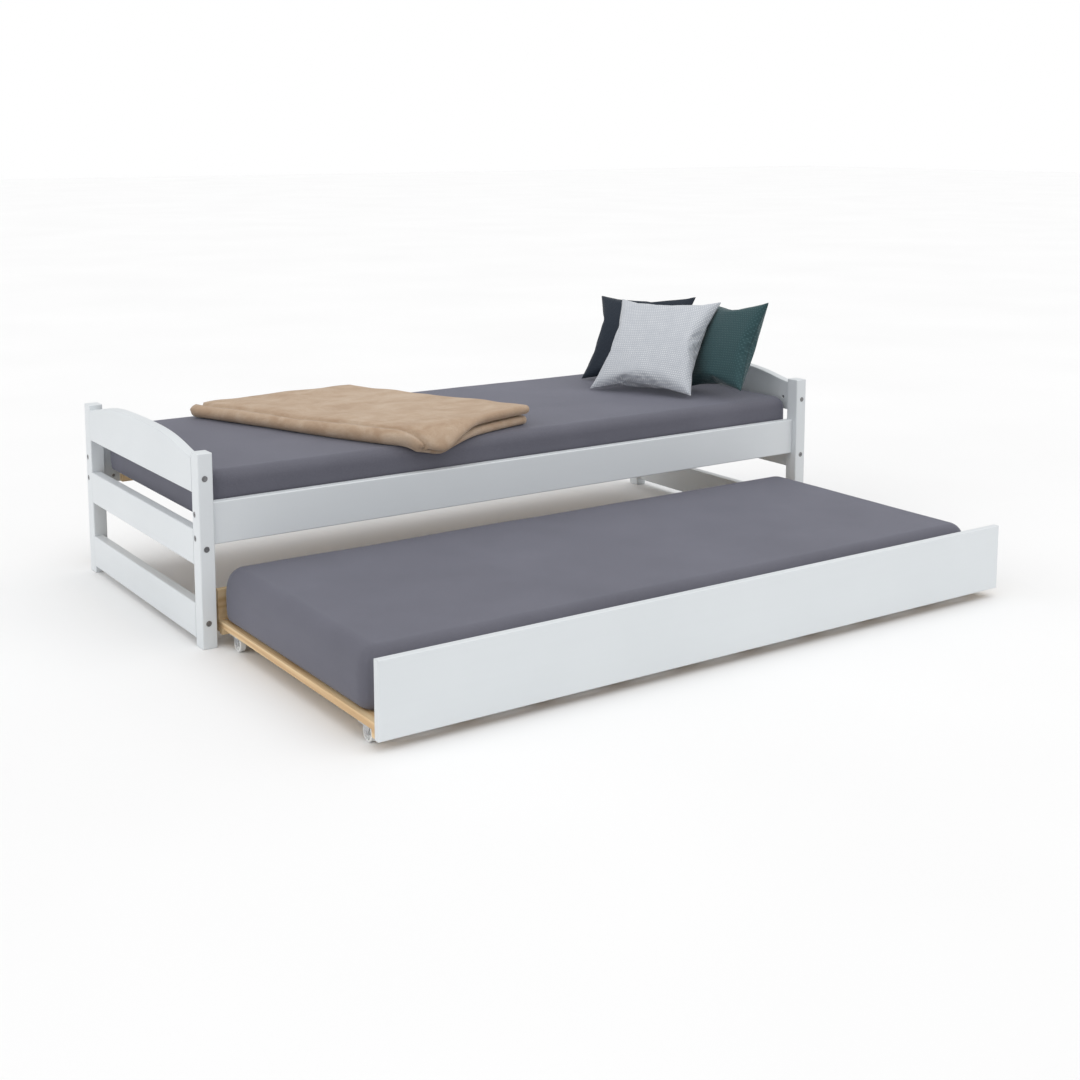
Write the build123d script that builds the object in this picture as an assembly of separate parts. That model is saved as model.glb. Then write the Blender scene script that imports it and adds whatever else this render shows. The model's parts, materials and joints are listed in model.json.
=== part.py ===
from build123d import *
import math
import os

# Low single bed with a roll-out trundle, shown with the trundle pulled out.
# Millimetres. X runs along the bed (foot end at -X), +Y towards the wall side, +Z up.
# The origin is on the floor, under the middle of the bed and its pulled-out trundle.

# ---- bed frame
LENGTH, WIDTH = 2080.0, 880.0          # over the posts
POST_X, POST_Y, POST_H = 40.0, 45.0, 506.0
TRAVEL = 834.0                         # how far the trundle stands out at rest
FRONT = (TRAVEL - WIDTH) / 2           # front face of the bed in Y
REAR = FRONT + WIDTH
END_T, END_H = 28.0, 92.0              # end rails: thickness and height
LOWER_Z, MIDDLE_Z, TOP_Z = 20.0, 213.0, 401.0
ARCH = [(0, 492), (46, 498.5), (104, 510.5), (172, 521.5), (246, 527.5), (395, 530)]
SIDE_T, SIDE_H, SIDE_Z = 26.0, 110.0, 264.0
SIDE_IN = 31.0                         # side rail centre, from the front face of its post
LEDGE_L, LEDGE_Y, LEDGE_H, LEDGE_Z = 1900.0, 22.0, 24.0, 266.0
SLAT_W, SLAT_T, SLAT_COUNT = 70.0, 18.0, 10
SLAT_END = 130.0                       # first slat centre from the end of the bed
EDGE = 3.0                             # rounding on painted edges

# ---- joinery
BOLT_R, BOLT_HEAD_R, BOLT_HEAD_T = 3.0, 7.5, 3.0
BOLT_SUNK = 0.4                        # head below the surface
BOLT_REACH = 40.0                      # bolt past the post
BOLT_CLEAR = 0.3
END_BOLT_X = 18.0                      # end rail bolts, from the outer face of the post
END_BOLT_Z = (66.0, 259.0, 441.0)
SIDE_BOLT_Z = (284.0, 346.0)
NUT_R, NUT_L, NUT_AT = 5.0, 16.0, 32.0
DOWEL_R, DOWEL_L, DOWEL_DROP = 4.0, 36.0, 26.0
SCREW_R, SCREW_HEAD_R = 2.0, 4.0

# ---- trundle, measured from the front of its panel
PANEL_L, PANEL_T, PANEL_H, PANEL_Z = 1972.0, 18.0, 180.0, 26.0
BACK_Z, BACK_H = 32.0, 110.0
DEPTH = 878.0
BEARER_W, DECK_T, DECK_Z = 64.0, 18.0, 45.0
RAIL_S = 18.0                          # square ledge under the trundle slats
TRUNDLE_SLATS = 8
CASTOR_X = 965.0                       # castor centres from the middle
CASTOR_Y = (77.0, 774.0)
WHEEL_R, WHEEL_W, HUB_W, HUB_R = 21.0, 16.0, 17.4, 6.5
AXLE_R, AXLE_CLEAR = 2.5, 0.05
CHEEK_IN, CHEEK_T, PLATE_T = 9.0, 2.0, 2.0

# ---- soft goods
BED_MATTRESS = (1998.0, 798.0, 136.0)
BED_MATTRESS_X = 11.0                  # pushed up to the head end
TRUNDLE_MATTRESS = (1924.0, 800.0, 142.0)
TRUNDLE_MATTRESS_X = -18.0
BLANKET_T = 52.0
BLANKET = [(-755, 790), (-205, 822), (45, 140), (-395, 40)]     # X from centre, Y from front

HALF = LENGTH / 2
SIDE_Y = (SIDE_IN, WIDTH - POST_Y + SIDE_IN)
SLAT_Z = LEDGE_Z + LEDGE_H
BED_TOP = SLAT_Z + SLAT_T
MATTRESS_TOP = BED_TOP + BED_MATTRESS[2]
PANEL_Y = FRONT - TRAVEL
DECK_TOP = DECK_Z + DECK_T


def box(x0, x1, y0, y1, z0, z1):
    size = (x1 - x0, y1 - y0, z1 - z0)
    return Pos((x0 + x1) / 2, (y0 + y1) / 2, (z0 + z1) / 2) * Box(*size)


def rod(radius, start, end):
    """Solid cylinder between two points that differ along one axis."""
    a, b = Vector(*start), Vector(*end)
    return Plane(origin=a, z_dir=b - a) * Cylinder(
        radius, (b - a).length, align=(Align.CENTER, Align.CENTER, Align.MIN)
    )


def mirrored(part):
    return mirror(part, about=Plane.YZ)


def shift(point, step, axis):
    out = list(point)
    out[axis] += step
    return tuple(out)


def board(x0, x1, y0, y1, z0, z1, grain, radius=EDGE):
    """Square-sawn board with its four long edges rounded."""
    part = box(x0, x1, y0, y1, z0, z1)
    return fillet(part.edges().filter_by(grain), radius)


# ---------------------------------------------------------------- joinery
def bolt(face, axis, way, post):
    """Flat-headed connector bolt that starts at the outer face of a post."""
    head = shift(face, way * BOLT_SUNK, axis)
    neck = shift(head, way * BOLT_HEAD_T, axis)
    part = rod(BOLT_HEAD_R, head, neck) + rod(BOLT_R, neck, shift(face, way * (post + BOLT_REACH), axis))
    key = Plane(origin=head, z_dir=shift((0, 0, 0), way, axis)) * extrude(RegularPolygon(2.3, 6), 2.0)
    return part - key


def bolt_hole(face, axis, way, post):
    floor = shift(face, way * (BOLT_SUNK + BOLT_HEAD_T), axis)
    end = shift(face, way * (post + BOLT_REACH + 2), axis)
    start = shift(face, -way * 1.0, axis)
    return rod(BOLT_HEAD_R + BOLT_CLEAR, start, floor) + rod(BOLT_R + BOLT_CLEAR, floor, end)


def end_bolts():
    """Outer face points of the bolts that hold the foot-end rails."""
    x = -HALF + END_BOLT_X
    return [((x, FRONT, z), 1, 1) for z in END_BOLT_Z] + [((x, REAR, z), 1, -1) for z in END_BOLT_Z]


def side_bolts():
    """Outer face points of the foot-end bolts that hold the side rails."""
    return [((-HALF, FRONT + y, z), 0, 1) for y in SIDE_Y for z in SIDE_BOLT_Z]


def end_nut(face, way, open_to=0.0):
    y = face[1] + way * (POST_Y + NUT_AT)
    inner = -HALF + END_T
    start = (inner - 18.0, y, face[2])
    return rod(NUT_R, start, (start[0] + NUT_L + open_to, y, face[2]))


def side_nut(face, open_to=0.0):
    """Cross dowel in a side rail, entered from the mattress side."""
    x, y = face[0] + POST_X + NUT_AT, face[1]
    inward = 1 if y < 0.5 * (FRONT + REAR) else -1
    start = (x, y - inward * NUT_L / 2, face[2])
    return rod(NUT_R, start, (x, start[1] + inward * (NUT_L + open_to), face[2]))


def foot_dowels():
    parts = []
    for face, _, way in end_bolts():
        y, z = face[1] + way * POST_Y, face[2] - DOWEL_DROP
        parts.append(rod(DOWEL_R, (face[0] - 4, y - DOWEL_L / 2, z), (face[0] - 4, y + DOWEL_L / 2, z)))
    for y in SIDE_Y:
        x, z = -HALF + POST_X, sum(SIDE_BOLT_Z) / 2
        parts.append(rod(DOWEL_R, (x - DOWEL_L / 2, FRONT + y, z), (x + DOWEL_L / 2, FRONT + y, z)))
    return parts


def drill_foot_end(part):
    """Cut every bolt, cross dowel and wooden dowel hole of the foot end."""
    for face, axis, way in end_bolts():
        part -= bolt_hole(face, axis, way, POST_Y)
        part -= end_nut(face, way, open_to=6.0)
    for face, axis, way in side_bolts():
        part -= bolt_hole(face, axis, way, POST_X)
        part -= side_nut(face, open_to=12.0)
    for dowel in foot_dowels():
        part -= dowel
    return part


def screw(tip, head, axis, way, slotted=False):
    """Countersunk wood screw; `way` points from tip to head along the axis."""
    inward = Plane(origin=head, z_dir=shift((0, 0, 0), -way, axis))
    part = rod(SCREW_R, tip, head) + inward * Cone(
        SCREW_HEAD_R, SCREW_R, 2.2, align=(Align.CENTER, Align.CENTER, Align.MIN)
    )
    if slotted:
        part -= inward * (Box(4, 0.9, 2) + Box(0.9, 4, 2))
    return part


def near(part, cutters):
    """Cut only the screws whose boxes reach the part."""
    room = part.bounding_box()
    for cutter in cutters:
        b = cutter.bounding_box()
        if b.max.X > room.min.X and b.min.X < room.max.X and b.max.Y > room.min.Y and b.min.Y < room.max.Y:
            part -= cutter
    return part


# ---------------------------------------------------------------- bed frame
def post(y0):
    part = box(-HALF, -HALF + POST_X, y0, y0 + POST_Y, 0, POST_H)
    part = fillet(part.edges().filter_by(Axis.Z), EDGE)
    part = fillet(part.faces().sort_by(Axis.Z)[-1].edges(), EDGE - 0.6)
    return drill_foot_end(part)


def end_rail(z0, height=END_H):
    x0, y0, y1 = -HALF, FRONT + POST_Y, REAR - POST_Y
    return drill_foot_end(board(x0, x0 + END_T, y0, y1, z0, z0 + height, Axis.Y))


def arched_rail():
    """Top end rail: flat underside, low S-curved arch on top."""
    y0, y1 = FRONT + POST_Y, REAR - POST_Y
    left = [(y0 + y, z) for y, z in ARCH]
    right = [(y1 - y, z) for y, z in reversed(ARCH[:-1])]
    crest = Spline([Vector(*p) for p in left + right], tangents=[(1, 0.10), (1, -0.10)])
    foot = Polyline((y1, ARCH[0][1]), (y1, TOP_Z), (y0, TOP_Z), (y0, ARCH[0][1]))
    face = Plane(origin=(-HALF, 0, 0), x_dir=(0, 1, 0), z_dir=(1, 0, 0)) * make_face([crest, foot])
    part = extrude(face, END_T)
    long_edges = [e for e in part.edges() if e.length > 500]
    return drill_foot_end(fillet(long_edges, EDGE))


def side_rail(index):
    y = FRONT + SIDE_Y[index]
    part = board(
        -HALF + POST_X, HALF - POST_X, y - SIDE_T / 2, y + SIDE_T / 2, SIDE_Z, SIDE_Z + SIDE_H, Axis.X
    )
    part = drill_foot_end(part)
    return mirrored(drill_foot_end(mirrored(part)))


def ledge_faces():
    """Inner faces of the two side rails, with the way towards the mattress."""
    return [(FRONT + SIDE_Y[0] + SIDE_T / 2, 1), (FRONT + SIDE_Y[1] - SIDE_T / 2, -1)]


def ledge_screws(index, slotted=False):
    y, way = ledge_faces()[index]
    pitch = (LENGTH - 2 * SLAT_END) / (SLAT_COUNT - 1)
    z = LEDGE_Z + LEDGE_H / 2
    xs = [k * 2 * pitch for k in (-2, -1, 0, 1, 2)]
    return [screw((x, y - way * 15, z), (x, y + way * LEDGE_Y, z), 1, way, slotted) for x in xs]


def ledge(index):
    y, way = ledge_faces()[index]
    y0, y1 = sorted((y, y + way * LEDGE_Y))
    part = board(-LEDGE_L / 2, LEDGE_L / 2, y0, y1, LEDGE_Z, LEDGE_Z + LEDGE_H, Axis.X, 1.0)
    return near(part, ledge_screws(index) + slat_screws())


def slat_x(k):
    return -HALF + SLAT_END + k * (LENGTH - 2 * SLAT_END) / (SLAT_COUNT - 1)


def slat_screws(slotted=False):
    parts = []
    for k in range(SLAT_COUNT):
        for y, way in ledge_faces():
            at = (slat_x(k), y + way * LEDGE_Y / 2)
            parts.append(screw((*at, BED_TOP - 32), (*at, BED_TOP), 2, 1, slotted))
    return parts


def bed_slat(k):
    y0, y1 = ledge_faces()[0][0] + 1, ledge_faces()[1][0] - 1
    x = slat_x(k)
    part = board(x - SLAT_W / 2, x + SLAT_W / 2, y0, y1, SLAT_Z, BED_TOP, Axis.Y, 2.0)
    return near(part, slat_screws()[2 * k:2 * k + 2])


# ---------------------------------------------------------------- trundle
def trundle_y(depth):
    return PANEL_Y + depth


def rail_faces():
    """Inner faces of the panel and the back board, with the way inwards."""
    return [(trundle_y(PANEL_T), 1), (trundle_y(DEPTH - PANEL_T), -1)]


def trundle_slat_x(k):
    centre = (PANEL_L - BEARER_W) / 2
    return -centre + (k + 1) * 2 * centre / (TRUNDLE_SLATS + 1)


def trundle_rail_screws(index, slotted=False):
    y, way = rail_faces()[index]
    pitch = (PANEL_L - BEARER_W) / (TRUNDLE_SLATS + 1)
    z = DECK_Z - RAIL_S / 2
    xs = [(k - 4) * pitch for k in (0, 2, 4, 6, 8)]
    return [screw((x, y - way * 12, z), (x, y + way * RAIL_S, z), 1, way, slotted) for x in xs]


def deck_screws(slotted=False):
    ends = (PANEL_L - BEARER_W) / 2
    xs = [-ends - 14, -ends + 14] + [trundle_slat_x(k) for k in range(TRUNDLE_SLATS)] + [ends - 14, ends + 14]
    parts = []
    for x in xs:
        for y, way in rail_faces():
            at = (x, y + way * RAIL_S / 2)
            parts.append(screw((*at, DECK_TOP - 30), (*at, DECK_TOP), 2, 1, slotted))
    return parts


def front_panel():
    y0 = trundle_y(0)
    part = box(-PANEL_L / 2, PANEL_L / 2, y0, y0 + PANEL_T, PANEL_Z, PANEL_Z + PANEL_H)
    part = fillet(part.faces().sort_by(Axis.Y)[0].edges(), 2.5)
    return near(part, trundle_rail_screws(0))


def back_board():
    y1 = trundle_y(DEPTH)
    part = board(-PANEL_L / 2, PANEL_L / 2, y1 - PANEL_T, y1, BACK_Z, BACK_Z + BACK_H, Axis.X, 2.0)
    return near(part, trundle_rail_screws(1))


def trundle_rail(index):
    y, way = rail_faces()[index]
    y0, y1 = sorted((y, y + way * RAIL_S))
    part = board(-PANEL_L / 2 + 2, PANEL_L / 2 - 2, y0, y1, DECK_Z - RAIL_S, DECK_Z, Axis.X, 1.0)
    return near(part, trundle_rail_screws(index) + deck_screws())


def deck_board(x, width):
    y0, y1 = rail_faces()[0][0], rail_faces()[1][0]
    part = board(x - width / 2, x + width / 2, y0, y1, DECK_Z, DECK_TOP, Axis.Y, 2.0)
    screws = [p for sx in (-1, 1) for at in castor_places() if at[0] * sx > 0 for p in castor_screws(at)]
    return near(part, deck_screws() + screws)


def castor_places():
    return [(sx * CASTOR_X, trundle_y(d)) for sx in (-1, 1) for d in CASTOR_Y]


def castor_bracket(at):
    """Fixed U-shaped castor fork with a four-hole top plate."""
    x, y = at
    top = DECK_Z
    part = box(x - 20, x + 20, y - 22, y + 22, top - PLATE_T, top)
    part = fillet(part.edges().filter_by(Axis.Z), 4)
    for side in (-1, 1):
        x0 = x + side * CHEEK_IN
        x1 = x0 + side * CHEEK_T
        outline = Polyline(
            (y - 17, top - 1), (y + 17, top - 1), (y + 7, WHEEL_R - 6), (y - 7, WHEEL_R - 6), close=True
        )
        plane = Plane(origin=(min(x0, x1), 0, 0), x_dir=(0, 1, 0), z_dir=(1, 0, 0))
        cheek = plane * extrude(make_face(outline), CHEEK_T)
        low = [e for e in cheek.edges().filter_by(Axis.X) if e.center().Z < WHEEL_R]
        part += fillet(low, 4)
    part -= rod(AXLE_R, (x - 15, y, WHEEL_R), (x + 15, y, WHEEL_R))
    for cutter in castor_screws(at):
        part -= cutter
    return part


def castor_axle(at):
    x, y = at
    out = CHEEK_IN + CHEEK_T
    part = rod(AXLE_R, (x - out - 1.4, y, WHEEL_R), (x + out + 1.4, y, WHEEL_R))
    for side in (-1, 1):
        part += rod(4.2, (x + side * out, y, WHEEL_R), (x + side * (out + 1.4), y, WHEEL_R))
    return part


def castor_screws(at):
    x, y = at
    parts = []
    for dx in (-15.2, 15.2):
        for dy in (-16.5, 16.5):
            base = (x + dx, y + dy, DECK_Z - PLATE_T)
            head = rod(3.6, shift(base, -1.8, 2), base)
            parts.append(head + rod(1.8, base, shift(base, 15, 2)))
    return parts


def castor_wheel(at):
    """Moulded wheel with six webs between its hub and rim."""
    x, y = at
    part = Cylinder(WHEEL_R, WHEEL_W)
    part = fillet(part.edges(), 2.2)
    part += Cylinder(HUB_R, HUB_W)
    ring = Cylinder(WHEEL_R - 4.5, 4.5) - Cylinder(HUB_R, 4.5)
    for k in range(3):
        ring -= Rot(0, 0, 60 * k) * Box(2 * WHEEL_R, 2.2, 4.5)
    for side in (-1, 1):
        part -= Pos(0, 0, side * (WHEEL_W / 2 - 2.25)) * ring
    part -= Cylinder(AXLE_R + AXLE_CLEAR, HUB_W + 2)
    return Plane(origin=(x, y, WHEEL_R), z_dir=(1, 0, 0)) * part


# ---------------------------------------------------------------- soft goods
def mattress(size, x, y0, z0, corner, crown, foot):
    length, width, height = size
    part = box(x - length / 2, x + length / 2, y0, y0 + width, z0, z0 + height)
    part = fillet(part.edges().filter_by(Axis.Z), corner)
    part = fillet(part.faces().sort_by(Axis.Z)[-1].edges(), crown)
    return fillet(part.faces().sort_by(Axis.Z)[0].edges(), foot)


def bed_mattress():
    gap = (SIDE_Y[1] - SIDE_Y[0] - SIDE_T - BED_MATTRESS[1]) / 2
    return mattress(BED_MATTRESS, BED_MATTRESS_X, ledge_faces()[0][0] + gap, BED_TOP, 40, 34, 14)


def trundle_mattress():
    y0 = PANEL_Y + DEPTH - PANEL_T - 1 - TRUNDLE_MATTRESS[1]
    return mattress(TRUNDLE_MATTRESS, TRUNDLE_MATTRESS_X, y0, DECK_TOP, 52, 46, 22)


def blanket():
    """Folded blanket, askew on the mattress, with a corner over its front edge."""
    z0 = MATTRESS_TOP + 0.3
    corners = [(x, FRONT + y) for x, y in BLANKET]
    part = Pos(0, 0, z0) * extrude(make_face(Polyline(*corners, close=True)), BLANKET_T)
    part = fillet(part.edges().filter_by(Axis.Z), 30)
    part = fillet(part.faces().sort_by(Axis.Z)[-1].edges(), 20)
    drop = [(-470, z0 + 30), (-405, z0 - 48), (-350, z0 - 44), (-290, z0 + 30)]
    face = Plane(origin=(0, FRONT + 1, 0), x_dir=(1, 0, 0), z_dir=(0, -1, 0)) * make_face(
        Polyline(*drop, close=True)
    )
    return part + extrude(face, -48.0)


def cushion(size, thick, centre, yaw, lean, roll):
    """Filled square cushion that leans back towards the head end, and rolls a little onto one corner."""
    slab = Box(size, size, 8)
    for side in (-1, 1):
        base = Pos(0, 0, side * 4) * Rectangle(size, size)
        crown = Pos(0, 0, side * thick / 2) * Rectangle(size * 0.5, size * 0.5)
        slab += loft([base, crown])
    yaw, lean, roll = math.radians(yaw), math.radians(lean), math.radians(roll)
    across = Vector(-math.sin(yaw), -math.cos(yaw), 0)
    back = Vector(math.cos(yaw), -math.sin(yaw), 0)
    normal = Vector(0, 0, 1) * math.sin(lean) - back * math.cos(lean)
    z = MATTRESS_TOP + 3 + 0.5 * size * math.cos(lean) * (math.cos(roll) + math.sin(roll))
    slab = Rot(0, 0, math.degrees(roll)) * slab
    x, y = centre
    return Plane(origin=(x, FRONT + y, z), x_dir=across, z_dir=normal) * slab


# ---------------------------------------------------------------- the parts
def solids(parts):
    return Compound([s for p in parts for s in p.solids()])


def bed_parts():
    rear = WIDTH - POST_Y
    front_post, rear_post = post(FRONT), post(FRONT + rear)
    top, middle, lower = arched_rail(), end_rail(MIDDLE_Z), end_rail(LOWER_Z)
    end = [bolt(face, axis, way, POST_Y) for face, axis, way in end_bolts()]
    side = [bolt(face, axis, way, POST_X) for face, axis, way in side_bolts()]
    nuts = [end_nut(f, w) - rod(BOLT_R, f, shift(f, w * 120, 1)) for f, _, w in end_bolts()]
    nuts += [side_nut(f) - rod(BOLT_R, f, shift(f, 120, 0)) for f, _, _ in side_bolts()]
    both = lambda group: solids(group + [mirrored(p) for p in group])
    parts = {
        "post_foot_front": front_post,
        "post_foot_rear": rear_post,
        "post_head_front": mirrored(front_post),
        "post_head_rear": mirrored(rear_post),
        "foot_top_rail": top,
        "foot_middle_rail": middle,
        "foot_lower_rail": lower,
        "head_top_rail": mirrored(top),
        "head_middle_rail": mirrored(middle),
        "head_lower_rail": mirrored(lower),
        "front_side_rail": near(side_rail(0), ledge_screws(0)),
        "rear_side_rail": near(side_rail(1), ledge_screws(1)),
        "front_slat_ledge": ledge(0),
        "rear_slat_ledge": ledge(1),
        "end_rail_bolts": both(end),
        "side_rail_bolts": both(side),
        "barrel_nuts": both(nuts),
        "wooden_dowels": both(foot_dowels()),
        "bed_screws": solids(ledge_screws(0, True) + ledge_screws(1, True) + slat_screws(True)),
        "bed_mattress": bed_mattress(),
        "folded_blanket": blanket(),
        "cushion_silver": cushion(370, 110, (738, 406), -24, 41, 1.8),
        "cushion_navy": cushion(352, 96, (845, 630), -33, 40, 1.7),
        "cushion_teal": cushion(326, 92, (925, 251), 10, 17, 1.5),
    }
    for k in range(SLAT_COUNT):
        parts[f"bed_slat_{k + 1:02d}"] = bed_slat(k)
    return parts


def trundle_parts():
    ends = (PANEL_L - BEARER_W) / 2
    places = castor_places()
    parts = {
        "trundle_front_panel": front_panel(),
        "trundle_back_board": back_board(),
        "trundle_front_ledge": trundle_rail(0),
        "trundle_back_ledge": trundle_rail(1),
        "trundle_foot_bearer": deck_board(-ends, BEARER_W),
        "trundle_head_bearer": deck_board(ends, BEARER_W),
        "trundle_screws": solids(
            trundle_rail_screws(0, True) + trundle_rail_screws(1, True) + deck_screws(True)
        ),
        "castor_axles": solids([castor_axle(at) for at in places]),
        "castor_screws": solids([s for at in places for s in castor_screws(at)]),
        "trundle_mattress": trundle_mattress(),
    }
    names = ("foot_front", "foot_rear", "head_front", "head_rear")
    for name, at in zip(names, places):
        parts[f"castor_bracket_{name}"] = castor_bracket(at)
        parts[f"castor_wheel_{name}"] = castor_wheel(at)
    for k in range(TRUNDLE_SLATS):
        parts[f"trundle_slat_{k + 1}"] = deck_board(trundle_slat_x(k), SLAT_W)
    return parts


os.makedirs("parts", exist_ok=True)
for node, shape in {**bed_parts(), **trundle_parts()}.items():
    export_step(shape, f"parts/{node}.step")
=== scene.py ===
import json
import math

import bpy
from mathutils import Matrix, Vector, noise


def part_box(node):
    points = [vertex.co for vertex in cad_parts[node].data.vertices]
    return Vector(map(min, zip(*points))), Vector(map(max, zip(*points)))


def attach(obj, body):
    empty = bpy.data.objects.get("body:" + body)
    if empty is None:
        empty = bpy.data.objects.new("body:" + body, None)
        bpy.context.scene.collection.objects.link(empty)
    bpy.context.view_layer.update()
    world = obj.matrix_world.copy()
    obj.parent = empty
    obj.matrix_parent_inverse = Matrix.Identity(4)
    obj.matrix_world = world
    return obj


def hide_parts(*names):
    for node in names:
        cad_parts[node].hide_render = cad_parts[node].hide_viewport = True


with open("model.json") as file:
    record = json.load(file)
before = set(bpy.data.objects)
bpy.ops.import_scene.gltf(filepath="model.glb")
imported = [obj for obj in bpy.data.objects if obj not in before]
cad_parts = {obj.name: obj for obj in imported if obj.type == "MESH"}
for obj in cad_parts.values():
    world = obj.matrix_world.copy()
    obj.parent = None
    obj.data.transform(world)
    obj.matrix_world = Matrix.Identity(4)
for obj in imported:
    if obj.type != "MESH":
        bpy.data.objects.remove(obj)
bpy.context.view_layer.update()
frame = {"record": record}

# ---- camera
CAM_AT, CAM_YAW, CAM_DOWN, CAM_LENS, CAM_SHIFT = (-2.440, -3.593, 1.302), 34.28, 7.95, 51.04, -0.18

# ---- studio
FLOOR_REACH = 40

# ---- soft goods
MATTRESS_GAP = 0.0006                  # sheet above whatever it rests on
HEM = 0.105                            # how far the fitted sheet turns under
PLY = 0.0065                           # blanket: pitch from one layer to the next
FLEECE = 0.0054                        # blanket: thickness of the cloth
BLANKET_LONG, BLANKET_WIDE = 0.745, 0.470
BLANKET_PLAN = ((-0.755, 0.767), (-0.402, -0.048), (-0.205, 0.799), (0.045, 0.117))
MATTRESSES = (                         # name, node, corner, top roll in and down, bottom roll, body
    ("bed", "bed_mattress", 0.040, (0.034, 0.036), 0.014, "bed"),
    ("trundle", "trundle_mattress", 0.052, (0.044, 0.054), 0.022, "trundle"),
)
CUSHIONS = (                           # name, side, thickness, centre X and Y, yaw, lean, roll
    ("silver", 0.378, 0.112, (0.738, 0.383), -24, 41, 1.8),
    ("navy", 0.358, 0.098, (0.843, 0.607), -33, 40, 1.7),
    ("teal", 0.310, 0.094, (0.886, 0.196), 7, 25, 6.7),
)


# ---------------------------------------------------------------- small helpers
def smooth(x, a, b):
    t = min(max((x - a) / (b - a), 0.0), 1.0)
    return t * t * (3 - 2 * t)


def ripple(p, size, seed=0.0):
    """Smooth noise from -1 to 1, with bumps about that size in metres."""
    return noise.noise(Vector(p) / size + Vector((seed, seed * 0.7, -seed)))


def steps(a, b, count):
    return [a + (b - a) * k / count for k in range(count + 1)]


def make(name, verts, faces, material, body):
    mesh = bpy.data.meshes.new(name)
    mesh.from_pydata([tuple(v) for v in verts], [], faces)
    mesh.validate()
    mesh.polygons.foreach_set("use_smooth", [True] * len(mesh.polygons))
    obj = bpy.data.objects.new(name, mesh)
    bpy.context.scene.collection.objects.link(obj)
    mesh.materials.append(material)
    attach(obj, body)
    return obj


def shift_along_normals(obj, amount):
    """Moves each vertex along its normal by amount(position, normal)."""
    mesh = obj.data
    moved = [v.co + v.normal * amount(v.co, v.normal) for v in mesh.vertices]
    for v, p in zip(mesh.vertices, moved):
        v.co = p
    mesh.update()


# ---------------------------------------------------------------- node materials
class Graph:
    """A material and short calls for the nodes it is made of."""

    def __init__(self, name, **constants):
        self.material = bpy.data.materials.new(name)
        self.material.use_nodes = True
        self.tree = self.material.node_tree
        self.shader = self.tree.nodes["Principled BSDF"]
        for key, value in constants.items():
            self.shader.inputs[key.replace("_", " ")].default_value = value
        self.place = self.add("ShaderNodeTexCoord").outputs["Object"]

    def add(self, kind, inputs=None, **settings):
        node = self.tree.nodes.new(kind)
        for key, value in settings.items():
            setattr(node, key, value)
        for key, value in (inputs or {}).items():
            self.put(node.inputs[key], value)
        return node

    def put(self, socket, value):
        if isinstance(value, bpy.types.NodeSocket):
            self.tree.links.new(value, socket)
        else:
            socket.default_value = value

    def shade(self, name, value):
        self.put(self.shader.inputs[name], value)

    def math(self, op, a, b=0.0, clamp=False):
        return self.add("ShaderNodeMath", {0: a, 1: b}, operation=op, use_clamp=clamp).outputs[0]

    def stretch(self, factors, coord=None):
        inputs = {0: coord or self.place, 1: factors}
        return self.add("ShaderNodeVectorMath", inputs, operation="MULTIPLY").outputs[0]

    def noise(self, coord, scale=1.0, detail=3.0, rough=0.5, distort=0.0):
        inputs = {"Vector": coord, "Scale": scale, "Detail": detail, "Roughness": rough}
        inputs["Distortion"] = distort
        return self.add("ShaderNodeTexNoise", inputs).outputs["Fac"]

    def ramp(self, fac, *stops):
        node = self.add("ShaderNodeValToRGB", {"Fac": fac})
        bar = node.color_ramp.elements
        while len(bar) < len(stops):
            bar.new(0.5)
        for element, (at, colour) in zip(bar, stops):
            element.position = at
            element.color = (*colour, 1.0) if isinstance(colour, tuple) else (colour, colour, colour, 1.0)
        return node.outputs["Color"]

    def mix(self, fac, a, b, blend="MIX"):
        inputs = {0: fac, 6: self.opaque(a), 7: self.opaque(b)}
        return self.add("ShaderNodeMix", inputs, data_type="RGBA", blend_type=blend).outputs[2]

    def opaque(self, colour):
        return (*colour, 1.0) if isinstance(colour, tuple) else colour

    def bump(self, height, distance, strength=1.0, normal=None):
        inputs = {"Height": height, "Distance": distance, "Strength": strength}
        if normal is not None:
            inputs["Normal"] = normal
        return self.add("ShaderNodeBump", inputs).outputs["Normal"]

    def axes(self, coord=None):
        out = self.add("ShaderNodeSeparateXYZ", {0: coord or self.place}).outputs
        return out[0], out[1], out[2]

    def edges(self, radius):
        """Rounded normal near an edge, and how near the edge is, from 0 to 1."""
        rounded = self.add("ShaderNodeBevel", {"Radius": radius}, samples=4).outputs["Normal"]
        flat = self.add("ShaderNodeNewGeometry").outputs["Normal"]
        inputs = {0: rounded, 1: flat}
        dot = self.add("ShaderNodeVectorMath", inputs, operation="DOT_PRODUCT").outputs["Value"]
        return rounded, self.math("MULTIPLY", self.math("SUBTRACT", 1.0, dot), 5.0, True)


def along(axis, run, across):
    return tuple(run if a == axis else across for a in "XYZ")


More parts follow.
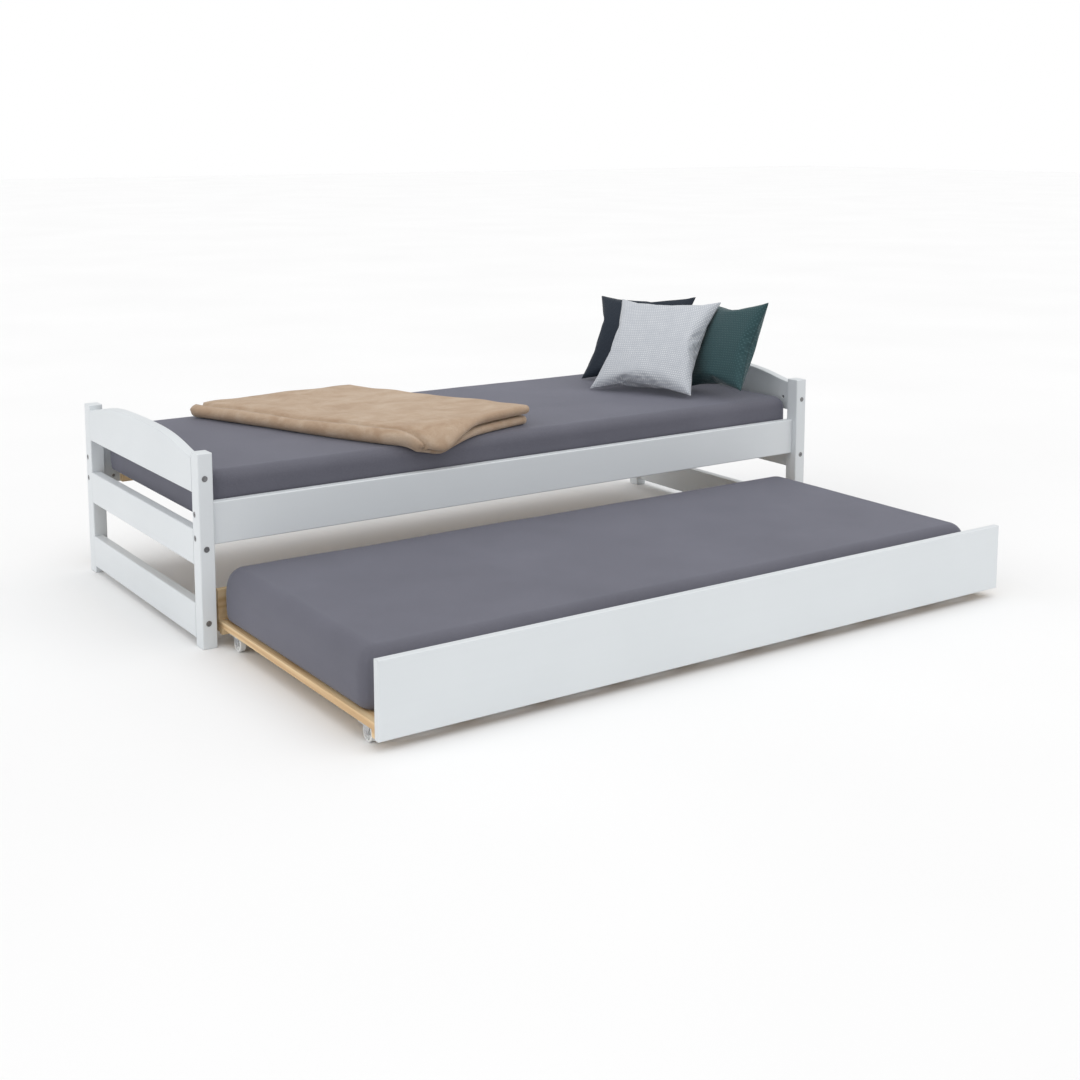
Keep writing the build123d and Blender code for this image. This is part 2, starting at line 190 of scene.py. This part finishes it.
def painted(axis):
    """Satin white lacquer over planed pine: faint grain, a little orange peel, worn edges."""
    g = Graph("white_paint_" + axis, Coat_Weight=0.25, Coat_Roughness=0.28, Coat_IOR=1.45)
    cloud = g.noise(g.place, 2.6, 3.0)
    grain = g.noise(g.stretch(along(axis, 2.2, 75.0)), 1.0, 6.0, 0.6)
    peel = g.noise(g.place, 620.0, 2.0)
    rounded, edge = g.edges(0.0022)
    colour = g.ramp(cloud, (0.3, (0.700, 0.735, 0.757)), (0.7, (0.735, 0.768, 0.790)))
    colour = g.mix(g.math("MULTIPLY", grain, 0.10), colour, (0.58, 0.60, 0.61))
    worn = g.math("MULTIPLY", edge, g.ramp(g.noise(g.place, 38.0, 4.0), (0.45, 0.0), (0.75, 0.55)))
    g.shade("Base Color", g.mix(worn, colour, (0.64, 0.61, 0.56)))
    g.shade("Roughness", g.ramp(g.noise(g.place, 9.0, 3.0), (0.3, 0.34), (0.7, 0.46)))
    bumpy = g.bump(grain, 0.00035, 0.35, rounded)
    g.shade("Normal", g.bump(peel, 0.00008, 0.25, bumpy))
    return g.material


def pine(axis):
    """Bare planed pine: growth bands and fibres along the board, a few knots, every board different."""
    g = Graph("natural_pine_" + axis, Specular_IOR_Level=0.35)
    board = g.add("ShaderNodeObjectInfo").outputs["Random"]
    places = {0: g.place, 1: g.math("MULTIPLY", board, 7.0)}
    moved = g.add("ShaderNodeVectorMath", places, operation="ADD").outputs[0]
    bands = g.noise(g.stretch(along(axis, 0.9, 16.0), moved), 1.0, 2.0, 0.5, 0.4)
    rings = g.math("PINGPONG", g.math("MULTIPLY", bands, 9.0), 1.0)
    fibre = g.noise(g.stretch(along(axis, 5.0, 420.0), moved), 1.0, 5.0, 0.65)
    spread = {"Vector": g.stretch(along(axis, 1.9, 9.0), moved), "Scale": 1.0, "Randomness": 1.0}
    knots = g.add("ShaderNodeTexVoronoi", spread).outputs["Distance"]
    early, middle, late = (0.80, 0.60, 0.355), (0.73, 0.50, 0.265), (0.58, 0.36, 0.17)
    colour = g.ramp(rings, (0.15, early), (0.62, middle), (0.95, late))
    colour = g.mix(g.math("MULTIPLY", fibre, 0.30), colour, (0.88, 0.72, 0.48))
    colour = g.mix(g.ramp(knots, (0.035, 1.0), (0.075, 0.0)), colour, (0.26, 0.13, 0.06))
    shade = g.math("ADD", 0.86, g.math("MULTIPLY", board, 0.22))
    rounded, edge = g.edges(0.0012)
    tinted = g.add("ShaderNodeVectorMath", {0: colour, "Scale": shade}, operation="SCALE").outputs[0]
    # Lighter pine colour along the edges is a painted highlight.
    g.shade("Base Color", g.mix(g.math("MULTIPLY", edge, 0.25), tinted, (0.86, 0.70, 0.48)))
    g.shade("Roughness", g.ramp(fibre, (0.3, 0.52), (0.7, 0.68)))
    g.shade("Normal", g.bump(fibre, 0.0003, 0.4, g.bump(rings, 0.0002, 0.3, rounded)))
    return g.material


def beech():
    g = Graph("beech_dowel", Specular_IOR_Level=0.35)
    flecks = g.noise(g.stretch((60.0, 60.0, 900.0)), 1.0, 3.0, 0.6)
    g.shade("Base Color", g.ramp(flecks, (0.35, (0.72, 0.52, 0.36)), (0.65, (0.52, 0.34, 0.21))))
    g.shade("Roughness", g.ramp(flecks, (0.3, 0.55), (0.7, 0.70)))
    g.shade("Normal", g.bump(flecks, 0.0003, 0.5))
    return g.material


def plated(name, dark, light, rough):
    """Zinc plate: cloudy passivation, fine brushing and edges brightened partly by wear and partly by a
    painted highlight.
    """
    g = Graph(name, Metallic=1.0)
    cloud = g.noise(g.place, 160.0, 4.0, 0.6)
    lines = g.noise(g.stretch((300.0, 300.0, 2600.0)), 1.0, 2.0)
    rounded, edge = g.edges(0.0007)
    colour = g.ramp(cloud, (0.3, dark), (0.7, light))
    # Brighter colour along the edges is partly wear to bright zinc and partly a painted highlight.
    worn_and_highlit = tuple(min(1.0, c * 1.5) for c in light)
    g.shade("Base Color", g.mix(g.math("MULTIPLY", edge, 0.6), colour, worn_and_highlit))
    g.shade("Roughness", g.ramp(cloud, (0.25, rough + 0.14), (0.75, rough)))
    g.shade("Normal", g.bump(lines, 0.00005, 0.4, rounded))
    return g.material


def moulded():
    """Semi-gloss moulded wheel with a scuffed tread."""
    g = Graph("castor_plastic", IOR=1.49)
    scuff = g.noise(g.stretch((90.0, 420.0, 420.0)), 1.0, 5.0, 0.65)
    rounded, edge = g.edges(0.001)
    colour = g.mix(g.ramp(scuff, (0.56, 0.0), (0.74, 0.5)), (0.80, 0.81, 0.80), (0.50, 0.50, 0.49))
    # Lighter colour along the edges is a painted highlight.
    g.shade("Base Color", g.mix(g.math("MULTIPLY", edge, 0.3), colour, (0.88, 0.88, 0.87)))
    g.shade("Roughness", g.ramp(scuff, (0.4, 0.26), (0.75, 0.52)))
    g.shade("Normal", g.bump(scuff, 0.0001, 0.35, rounded))
    return g.material


def knit(g, wale, course):
    """Height of a small V-stitch knit that reads on level and upright faces alike."""
    x, y, z = g.axes()
    level = g.math("ADD", x, g.math("MULTIPLY", z, 0.37))
    upright = g.math("ADD", y, g.math("MULTIPLY", z, 0.93))
    leg = g.math("SINE", g.math("MULTIPLY", upright, 2 * math.pi / wale))
    lean = g.math("ADD", level, g.math("MULTIPLY", g.math("ABSOLUTE", leg), course * 0.6))
    loop = g.math("SINE", g.math("MULTIPLY", lean, 2 * math.pi / course))
    return g.math("ADD", g.math("MULTIPLY", loop, 0.25), g.math("MULTIPLY", leg, 0.25))


def jersey(name, deep, pale):
    """Stretched cotton jersey: fine knit, heathered yarn, soft grazing sheen."""
    g = Graph(name, Sheen_Weight=0.22, Sheen_Roughness=0.45, Sheen_Tint=(0.80, 0.83, 1.0, 1.0),
              Specular_IOR_Level=0.35)
    heather = g.noise(g.stretch((210.0, 900.0, 900.0)), 1.0, 4.0, 0.7)
    cloud = g.noise(g.place, 4.5, 3.0)
    tone = g.math("ADD", g.math("MULTIPLY", heather, 0.7), g.math("MULTIPLY", cloud, 0.3))
    g.shade("Base Color", g.ramp(tone, (0.36, deep), (0.64, pale)))
    g.shade("Roughness", g.ramp(heather, (0.3, 0.60), (0.7, 0.74)))
    g.shade("Normal", g.bump(knit(g, 0.0016, 0.0013), 0.00022, 0.55, g.bump(heather, 0.0003, 0.25)))
    return g.material


def fleece():
    """Brushed fleece: short tufts with painted shade in the hollows between them, nap mottling that is
    partly its own colour and partly painted light and shade, lighter patches of painted highlight where the
    nap would catch the light, a little sheen.
    """
    g = Graph("camel_fleece", Sheen_Weight=0.35, Sheen_Roughness=0.55, Sheen_Tint=(1.0, 0.87, 0.72, 1.0),
              Specular_IOR_Level=0.18)
    tufts = g.noise(g.place, 310.0, 4.0, 0.7)
    nap = g.noise(g.stretch((9.0, 15.0, 15.0)), 1.0, 3.0, 0.55, 0.6)
    highlight_strokes = g.noise(g.stretch((46.0, 20.0, 40.0)), 1.0, 3.0, 0.6)
    deep, middle, pale = (0.400, 0.275, 0.185), (0.470, 0.345, 0.245), (0.530, 0.415, 0.315)
    # Paler where the nap rises and deeper where it sinks: partly the fleece's own mottling, partly painted
    # light and shade on the nap relief.
    colour = g.ramp(nap, (0.34, deep), (0.56, middle), (0.72, pale))
    # Lighter patches laid into the colour are a painted highlight of the nap catching the light.
    colour = g.mix(g.ramp(highlight_strokes, (0.50, 0.0), (0.72, 0.40)), colour, (0.56, 0.45, 0.35))
    # Darker base colour in the low hollows between tufts is painted shade.
    g.shade("Base Color", g.mix(g.ramp(tufts, (0.35, 0.28), (0.62, 0.0)), colour, (0.27, 0.18, 0.115)))
    g.shade("Roughness", g.ramp(tufts, (0.3, 0.86), (0.7, 0.97)))
    g.shade("Normal", g.bump(tufts, 0.0016, 0.55, g.bump(nap, 0.004, 0.45)))
    return g.material


def woven(name, ground, figure, repeat, dot, gloss, sheen=0.35):
    """Plain weave with a small offset figure, as wide as repeat, and a sewn seam line by the edge, sunk as
    a groove, with painted shade darkening the edge seam and that groove.
    """
    g = Graph(name, Sheen_Weight=sheen, Sheen_Roughness=0.4, Specular_IOR_Level=0.35)
    x, y, _ = g.axes()
    warp = g.math("SINE", g.math("MULTIPLY", x, 2 * math.pi / 0.0011))
    weft = g.math("SINE", g.math("MULTIPLY", y, 2 * math.pi / 0.0011))
    cloth = g.math("MULTIPLY", warp, weft)
    row = g.math("FLOOR", g.math("DIVIDE", y, repeat))
    shifted = g.math("ADD", g.math("DIVIDE", x, repeat), g.math("MULTIPLY", row, 0.5))
    dx = g.math("SUBTRACT", g.math("FRACT", shifted), 0.5)
    dy = g.math("SUBTRACT", g.math("FRACT", g.math("DIVIDE", y, repeat)), 0.5)
    away = g.math("SQRT", g.math("ADD", g.math("MULTIPLY", dx, dx), g.math("MULTIPLY", dy, dy)))
    spot = g.ramp(away, (max(dot - 0.07, 0.0), 1.0), (dot + 0.07, 0.0))
    worn = g.ramp(g.noise(g.place, 26.0, 3.0), (0.35, 0.55), (0.62, 1.0))
    yarn = g.noise(g.stretch((1500.0, 240.0, 900.0)), 1.0, 3.0, 0.6)
    colour = g.mix(g.math("MULTIPLY", spot, worn), ground, figure)
    colour = g.mix(g.math("MULTIPLY", yarn, 0.30), colour, tuple(c * 0.72 for c in ground))
    seam = g.add("ShaderNodeAttribute", attribute_name="seam").outputs["Fac"]
    seam_groove_and_shade = g.ramp(seam, (0.0, 0.55), (0.22, 0.0), (0.40, 0.0), (0.5, 0.45), (0.60, 0.0))
    # Darker colour along the edge seam and the stitch groove is painted shade.
    g.shade("Base Color", g.mix(seam_groove_and_shade, colour, tuple(c * 0.45 for c in ground)))
    g.shade("Roughness", g.ramp(spot, (0.0, gloss + 0.2), (1.0, gloss)))
    fine = g.bump(cloth, 0.00018, 0.5, g.bump(spot, 0.0006, 0.6))
    g.shade("Normal", g.bump(g.math("SUBTRACT", 1.0, seam_groove_and_shade), 0.0012, 0.6, fine))
    return g.material


def backdrop():
    g = Graph("studio_floor", Specular_IOR_Level=0.1)
    tone = g.noise(g.place, 0.8, 2.0)
    g.shade("Base Color", g.ramp(tone, (0.3, (0.90, 0.90, 0.90)), (0.7, (0.92, 0.92, 0.92))))
    g.shade("Roughness", g.ramp(tone, (0.3, 0.85), (0.7, 0.95)))
    return g.material


# ---------------------------------------------------------------- mattresses
def lines(cells, corner):
    """Grid lines across a box: (place between corner centres, place within a corner), each from -1 to 1."""
    start = [(-1.0, -1.0 + k / corner) for k in range(corner)]
    middle = [(m, 0.0) for m in steps(-1.0, 1.0, cells)]
    return start + middle + [(1.0, (k + 1) / corner) for k in range(corner)]


def round_box(lo, hi, radius, rolls, cell, corner=8):
    """Grid on a box with round corners. rolls lists (inset, height) from the edge of the top down to the
    underside, and None in place of the last one leaves the underside open. Returns vertices, faces and each
    vertex's corner share."""
    cx, cy = (lo[0] + hi[0]) / 2, (lo[1] + hi[1]) / 2
    a, b = (hi[0] - lo[0]) / 2 - radius, (hi[1] - lo[1]) / 2 - radius
    xs, ys = lines(round(2 * a / cell), corner), lines(round(2 * b / cell), corner)
    closed = rolls[-1] is not None
    rolls = [r for r in rolls if r is not None]
    verts, faces, share = [], [], []

    def put(i, j, inset, z):
        (mx, fx), (my, fy) = xs[i], ys[j]
        far = math.hypot(fx, fy)
        k = max(abs(fx), abs(fy)) / far if far else 0.0
        verts.append((cx + a * mx + (radius - inset) * fx * k, cy + b * my + (radius - inset) * fy * k, z))
        share.append(min(abs(fx * k), abs(fy * k)) * math.sqrt(2))
        return len(verts) - 1

    def cap(inset, z, down):
        grid = [[put(i, j, inset, z) for j in range(len(ys))] for i in range(len(xs))]
        for i in range(len(xs) - 1):
            for j in range(len(ys) - 1):
                quad = [grid[i][j], grid[i + 1][j], grid[i + 1][j + 1], grid[i][j + 1]]
                faces.append(quad[::-1] if down else quad)
        return grid

    nx, ny = len(xs) - 1, len(ys) - 1
    loop = [(i, 0) for i in range(nx)] + [(nx, j) for j in range(ny)]
    loop += [(i, ny) for i in range(nx, 0, -1)] + [(0, j) for j in range(ny, 0, -1)]
    top = cap(*rolls[0], False)
    ring = [top[i][j] for i, j in loop]
    for n, (inset, z) in enumerate(rolls[1:]):
        if closed and n == len(rolls) - 2:
            low = cap(inset, z, True)
            below = [low[i][j] for i, j in loop]
        else:
            below = [put(i, j, inset, z) for i, j in loop]
        for k in range(len(loop)):
            m = (k + 1) % len(loop)
            faces.append([ring[k], below[k], below[m], ring[m]])
        ring = below
    return verts, faces, share


def edge_roll(z0, z1, crown, foot, inset):
    """Section of a mattress edge: top roll, upright side, bottom roll. crown is (in, down)."""
    rolls = []
    for t in steps(0, math.pi / 2, 10):
        rolls.append((inset + crown[0] * (1 - math.sin(t)), z1 - crown[1] * (1 - math.cos(t))))
    for z in steps(z1 - crown[1], z0 + foot, 7)[1:-1]:
        rolls.append((inset - 0.0012 * math.sin(math.pi * (z - z0) / (z1 - z0)), z))
    for t in steps(0, math.pi / 2, 5):
        rolls.append((inset + foot * (1 - math.cos(t)), z0 + foot * (1 - math.sin(t))))
    return rolls


def fitted_sheet(name, node, radius, crown, foot, material, body):
    """Jersey sheet stretched over the mattress, turned under all round and gathered by its elastic."""
    lo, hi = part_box(node)
    z0, z1 = lo[2] + MATTRESS_GAP, hi[2]
    rolls = edge_roll(z0, z1, crown, foot, 0.0) + [(foot + (HEM - foot) * k / 9, z0) for k in range(1, 10)]
    flat = [(min(inset, radius - 0.002) if z > z0 + 1e-6 else inset, z) for inset, z in rolls]
    verts, faces, share = round_box(lo, hi, radius, flat + [None], 0.014)
    obj = make(name, verts, faces, material, body)
    middle = Vector(((lo[0] + hi[0]) / 2, (lo[1] + hi[1]) / 2, 0))

    def ruck(p, n):
        up = smooth(n.z, 0.2, 0.9)
        corner = share[index[0]]
        index[0] += 1
        soft = 0.0016 * ripple((p.x, p.y, p.z * 0.4), 0.34, 3.1) + 0.0007 * ripple(p, 0.11, 8.2)
        pull = 0.0011 * ripple((p.x * 5, p.y * 5, p.z * 0.7), 0.19, 1.7) * corner * (1 - up)
        seam = -0.0011 if corner > 0.995 and n.z < 0.8 else 0.0
        if n.z < -0.5:                     # gathers under the mattress, drawn up into its soft base
            deep = smooth(min(p.x - lo[0], hi[0] - p.x, p.y - lo[1], hi[1] - p.y), 0.02, HEM)
            turn = (p - middle).x + (p - middle).y
            return -0.0016 * deep * (1 + math.sin(turn * 210 + 2 * ripple(p, 0.05)))
        return min(soft + pull + seam, 0.0) if n.z < 0.2 and n.z > -0.5 else soft + pull + seam

    index = [0]
    shift_along_normals(obj, ruck)
    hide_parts(node)
    return obj


def mattress_core(name, node, radius, crown, foot, material, body):
    """The mattress itself, just inside its sheet, with a quilted underside."""
    lo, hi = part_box(node)
    inside = 0.0035
    crown = (crown[0] - inside, crown[1] - inside)
    rolls = edge_roll(lo[2] + inside + 0.001, hi[2] - inside, crown, foot, inside)
    verts, faces, share = round_box(lo, hi, radius, rolls, 0.022)
    obj = make(name, verts, faces, material, body)

    def quilt(p, n):
        if n.z > -0.8:
            return 0.0
        a, b = (p.x + p.y) / 0.11, (p.x - p.y) / 0.11
        return -0.0022 * (1 - abs(math.sin(math.pi * a)) ** 0.5 * abs(math.sin(math.pi * b)) ** 0.5)

    shift_along_normals(obj, quilt)
    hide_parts(node)
    return obj


# ---------------------------------------------------------------- folded blanket
def turn(count):
    return [("turn", t) for t in steps(-math.pi / 2, math.pi / 2, count)][1:-1]


def once_folded(item, end, gap):
    """First fold, in half along the blanket's length: place across, and height over that pair's middle."""
    kind, v = item
    if kind == "turn":
        return end + gap * math.cos(v), gap * math.sin(v)
    return v, (-gap if kind == "low" else gap)


def twice_folded(item, end, height):
    """Second fold, at the blanket's near end: the pair of layers turns back over itself."""
    kind, v = item
    radius = PLY - height
    if kind == "turn":
        return end + radius * math.cos(v), radius * math.sin(v)
    return v, (-radius if kind == "low" else radius)


def drape(x, y, height, edge, top):
    """Lays a point of the stack on the mattress, bending it over the mattress's front edge."""
    over, bend = edge - y, 0.034
    if over <= 0:
        return Vector((x, y, top + height))
    angle = min(over / (bend + 0.016), 1.32)
    rest = over - angle * (bend + 0.016)
    out = (bend + height) * math.sin(angle) + rest * math.cos(angle)
    return Vector((x, edge - out, top - bend + (bend + height) * math.cos(angle) - rest * math.sin(angle)))


def blanket_point(p, w, height, top, edge):
    """From the folded stack (metres along, metres across, height in it) to its place on the bed."""
    far_left, front, far_right, near = (Vector(c) for c in BLANKET_PLAN)
    u, v = p / (BLANKET_LONG + 2 * PLY), (w + 4 * PLY) / (BLANKET_WIDE + 4 * PLY)
    upper = smooth(height, 3.6 * PLY, 4.4 * PLY)
    u += upper * (0.018 * smooth(v, 0.35, 1.0) - 0.006)
    bow = 0.045 * math.sin(math.pi * min(max(u, 0.0), 1.0)) ** 2 * (1 - v) ** 2 * smooth(u, 0.3, 0.8)
    at = far_left * (1 - u) * (1 - v) + front * u * (1 - v) + far_right * (1 - u) * v + near * u * v
    rounded = smooth(u, 0.84, 1.02) * smooth(1 - v, 0.76, 1.02)
    at += (far_right - front).normalized() * 0.055 * rounded
    at += Vector((ripple((u, v, 0), 0.5, 4.4), ripple((u, v, 2), 0.5, 6.1))) * 0.012
    loft = 0.86 + 0.12 * smooth(u, 0.1, 0.9) + 0.06 * v
    lift = height * loft
    share = height / (8 * PLY)
    swell = 0.0085 * ripple((at.x, at.y, 0), 0.20, 2.0) + 0.0040 * ripple((at.x, at.y, 0.3), 0.085, 5.0)
    lift += share * swell
    lift += upper * 0.006 * smooth(u, 0.80, 1.02) * smooth(v, 0.0, 0.25)
    lift -= share * 0.006 * smooth(1 - v, 0.80, 1.0)
    return drape(at.x, at.y - bow, max(lift, 0.0) + 0.5 * FLEECE + MATTRESS_GAP, edge, top)


def folded_blanket(material):
    lo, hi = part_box("bed_mattress")
    wide, half = 2 * BLANKET_WIDE, BLANKET_WIDE
    flat = steps(0.0, half, 26)
    fold = turn(12)
    pass_up = [("low", q, None) for q in flat] + [("low", half, t) for _, t in fold]
    pass_up += [("low", half + q, None) for q in flat]
    back = [("high", q, t) for _, q, t in pass_up[::-1]]
    across = pass_up + [("turn", t, None) for _, t in turn(6)] + back
    down = [("low", p) for p in steps(0.0, BLANKET_LONG, 46)]
    lengthways = down + turn(9) + [("high", p - 0.006) for _, p in down[::-1]]
    verts = []
    for kind, q, t in across:
        q, height = once_folded((kind, q), wide, PLY / 2)
        for item in lengthways:
            p, h = twice_folded(item, BLANKET_LONG, height)
            radius = 2 * PLY - h
            if t is not None:
                w, lift = -radius * math.cos(t), 4 * PLY + radius * math.sin(t)
            elif q <= half:
                w, lift = half - q, 2 * PLY + h
            else:
                w, lift = q - half, 6 * PLY - h
            verts.append(blanket_point(p, w, lift - 0.5 * PLY, hi[2], lo[1] + 0.034))
    n = len(lengthways)
    faces = []
    for i in range(len(across) - 1):
        for k in range(i * n, i * n + n - 1):
            faces.append([k, k + 1, k + n + 1, k + n])
    obj = make("fleece_blanket", verts, faces, material, "bed")
    thick = obj.modifiers.new("cloth_thickness", "SOLIDIFY")
    thick.thickness, thick.offset = FLEECE, 0.0
    apply_modifiers(obj)
    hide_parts("folded_blanket")
    return obj


# ---------------------------------------------------------------- cushions
def apply_modifiers(obj):
    graph = bpy.context.evaluated_depsgraph_get()
    mesh = bpy.data.meshes.new_from_object(obj.evaluated_get(graph))
    obj.modifiers.clear()
    obj.data = mesh


def cushion_cover(n, size, thick):
    """Two square cloths sewn together round the edge, with each vertex's distance from the seam."""
    verts, faces, seam, index = [], [], [], {}
    for side in (1, -1):
        for i in range(n + 1):
            for j in range(n + 1):
                rim = i in (0, n) or j in (0, n)
                if rim and side < 0:
                    index[side, i, j] = index[1, i, j]
                    continue
                u, v = 2 * i / n - 1, 2 * j / n - 1
                lens = 0.5 * thick * (1 - u * u) ** 0.62 * (1 - v * v) ** 0.62
                x, y = u * (1 - 0.055 * (1 - v * v)), v * (1 - 0.055 * (1 - u * u))
                z = side * lens + 0.0004 * ripple((u, v, side), 0.3, 9.0)
                verts.append((x * size / 2, y * size / 2, z))
                seam.append((1 - max(abs(u), abs(v))) * size / 2)
                index[side, i, j] = len(verts) - 1
        for i in range(n):
            for j in range(n):
                quad = [index[side, i + a, j + b] for a, b in ((0, 0), (1, 0), (1, 1), (0, 1))]
                faces.append(quad if side > 0 else quad[::-1])
    return verts, faces, seam


def inflate(obj, pressure, frames):
    """Blows the cover up with Blender's cloth, and keeps the resulting mesh."""
    cloth = obj.modifiers.new("Cloth", "CLOTH")
    s = cloth.settings
    s.quality, s.mass, s.use_pressure, s.uniform_pressure_force = 7, 0.25, True, pressure
    s.tension_stiffness = s.compression_stiffness = 22
    s.shear_stiffness, s.bending_stiffness, s.air_damping = 9, 3.0, 4
    s.effector_weights.gravity = 0
    cloth.collision_settings.use_collision = False
    cloth.point_cache.frame_start, cloth.point_cache.frame_end = 1, frames
    for k in range(1, frames + 1):
        bpy.context.scene.frame_set(k)
    apply_modifiers(obj)
    bpy.context.scene.frame_set(1)


def fit_box(obj, size):
    """Scales a mesh about its middle to that bounding size."""
    lo = [min(v.co[k] for v in obj.data.vertices) for k in range(3)]
    hi = [max(v.co[k] for v in obj.data.vertices) for k in range(3)]
    for v in obj.data.vertices:
        v.co = [(v.co[k] - (lo[k] + hi[k]) / 2) * size[k] / (hi[k] - lo[k]) for k in range(3)]


def cushion(colour, size, thick, centre, yaw, lean, roll, material, top):
    verts, faces, seam = cushion_cover(52, size, 0.72 * thick)
    obj = make("cushion_cover_" + colour, verts, faces, material, "bed")
    line = obj.data.attributes.new("seam", "FLOAT", "POINT")
    line.data.foreach_set("value", [min(d / 0.016, 1.0) for d in seam])
    inflate(obj, 4.0, 18)
    fit_box(obj, (size, size, thick))
    more = obj.modifiers.new("finer", "SUBSURF")
    more.levels = more.render_levels = 1
    apply_modifiers(obj)
    yaw, lean, roll = math.radians(yaw), math.radians(lean), math.radians(roll)
    across = Vector((-math.sin(yaw), -math.cos(yaw), 0))
    back = Vector((math.cos(yaw), -math.sin(yaw), 0))
    out = Vector((0, 0, math.sin(lean))) - back * math.cos(lean)
    at = Vector((*centre, top + 0.002 + 0.5 * size * math.cos(lean) * (math.cos(roll) + math.sin(roll))))
    turned = Matrix((across, out.cross(across), out)).transposed().to_4x4() @ Matrix.Rotation(roll, 4, "Z")
    obj.matrix_world = Matrix.Translation(at) @ turned
    bpy.context.view_layer.update()
    rest_on(obj, top + 0.0015)
    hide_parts("cushion_" + colour)
    return obj


def rest_on(obj, level):
    """Flattens whatever would sink below that level."""
    world, home = obj.matrix_world, obj.matrix_world.inverted()
    for v in obj.data.vertices:
        p = world @ v.co
        if p.z < level:
            v.co = home @ Vector((p.x, p.y, level))
    obj.data.update()


# ---------------------------------------------------------------- dressing the CAD nodes
def dress():
    paint = {a: painted(a) for a in "XYZ"}
    wood = {a: pine(a) for a in "XY"}
    single = {
        "beech_dowel": beech(),
        "bolt_steel": plated("bolt_steel", (0.20, 0.20, 0.205), (0.34, 0.34, 0.345), 0.34),
        "zinc_steel": plated("zinc_steel", (0.52, 0.53, 0.55), (0.68, 0.69, 0.70), 0.30),
        "castor_plastic": moulded(),
    }
    for part in frame["record"]["subparts"]:
        obj, slot = bpy.data.objects.get(part["node"]), part["material_slot"]
        lo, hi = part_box(part["node"])
        size = [hi[k] - lo[k] for k in range(3)]
        axis = "XYZ"[size.index(max(size))]
        by_axis = {"white_paint": paint, "natural_pine": wood}.get(slot, {})
        choice = by_axis.get(axis) or single.get(slot)
        if choice:
            for place in obj.material_slots:
                place.material = choice


def soft_goods():
    grey = jersey("grey_jersey", (0.096, 0.096, 0.120), (0.138, 0.138, 0.170))
    ticking = jersey("quilted_ticking", (0.20, 0.20, 0.22), (0.28, 0.28, 0.30))
    for name, node, radius, crown, foot, body in MATTRESSES:
        mattress_core(name + "_mattress_core", node, radius, crown, foot, ticking, body)
        fitted_sheet(name + "_fitted_sheet", node, radius, crown, foot, grey, body)
    folded_blanket(fleece())
    weave = {
        "silver": woven("silver_weave", (0.50, 0.53, 0.58), (0.80, 0.82, 0.84), 0.0072, 0.30, 0.45),
        "navy": woven("navy_weave", (0.012, 0.020, 0.034), (0.018, 0.030, 0.046), 0.0050, 0.25, 0.60, 0.08),
        "teal": woven("teal_weave", (0.022, 0.066, 0.074), (0.050, 0.125, 0.135), 0.0080, 0.20, 0.50, 0.2),
    }
    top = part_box("bed_mattress")[1][2]
    for colour, *pose in CUSHIONS:
        cushion(colour, *pose, weave[colour], top)


# ---------------------------------------------------------------- studio
def soft_sun(name, source, power, spread):
    data = bpy.data.lights.new(name, "SUN")
    data.energy, data.angle = power, math.radians(spread)
    lamp = bpy.data.objects.new(name, data)
    lamp.rotation_euler = (-Vector(source)).to_track_quat("-Z", "Y").to_euler()
    bpy.context.scene.collection.objects.link(lamp)


def white_backdrop(tree):
    """The sky is plain white where it is seen, and a little dimmer as a light."""
    paper = tree.nodes.new("ShaderNodeBackground")
    paper.inputs["Color"].default_value, paper.inputs["Strength"].default_value = (1.0, 1.0, 1.0, 1.0), 1.0
    seen = tree.nodes.new("ShaderNodeLightPath")
    choose = tree.nodes.new("ShaderNodeMixShader")
    tree.links.new(seen.outputs["Is Camera Ray"], choose.inputs[0])
    tree.links.new(tree.nodes["Background"].outputs[0], choose.inputs[1])
    tree.links.new(paper.outputs[0], choose.inputs[2])
    tree.links.new(choose.outputs[0], tree.nodes["World Output"].inputs["Surface"])


def studio():
    mesh = bpy.data.meshes.new("studio_floor")
    corners = [(FLOOR_REACH * x, FLOOR_REACH * y, -0.0005) for x, y in ((-1, -1), (1, -1), (1, 1), (-1, 1))]
    mesh.from_pydata(corners, [], [(0, 1, 2, 3)])
    floor = bpy.data.objects.new("studio_floor", mesh)
    bpy.context.scene.collection.objects.link(floor)
    mesh.materials.append(backdrop())
    world = bpy.data.worlds.new("studio")
    bpy.context.scene.world = world
    world.use_nodes = True
    world.node_tree.nodes["Background"].inputs["Color"].default_value = (1.0, 1.0, 1.0, 1.0)
    world.node_tree.nodes["Background"].inputs["Strength"].default_value = 0.66
    white_backdrop(world.node_tree)
    soft_sun("overhead", (0.15, -0.25, 1.0), 1.05, 75)
    soft_sun("left_side", (-1.0, 0.12, 0.55), 0.50, 50)
    soft_sun("front_fill", (-0.35, -1.0, 0.55), 0.22, 60)
    bpy.context.scene.view_settings.view_transform = "Standard"


def camera():
    data = bpy.data.cameras.new("camera")
    data.sensor_width, data.lens, data.shift_y = 36.0, CAM_LENS, CAM_SHIFT
    cam = bpy.data.objects.new("camera", data)
    cam.location = CAM_AT
    yaw, down = math.radians(CAM_YAW), math.radians(CAM_DOWN)
    look = Vector((math.sin(yaw) * math.cos(down), math.cos(yaw) * math.cos(down), -math.sin(down)))
    cam.rotation_euler = look.to_track_quat("-Z", "Y").to_euler()
    bpy.context.scene.collection.objects.link(cam)
    bpy.context.scene.camera = cam


dress()
soft_goods()
studio()
camera()
bpy.context.view_layer.update()
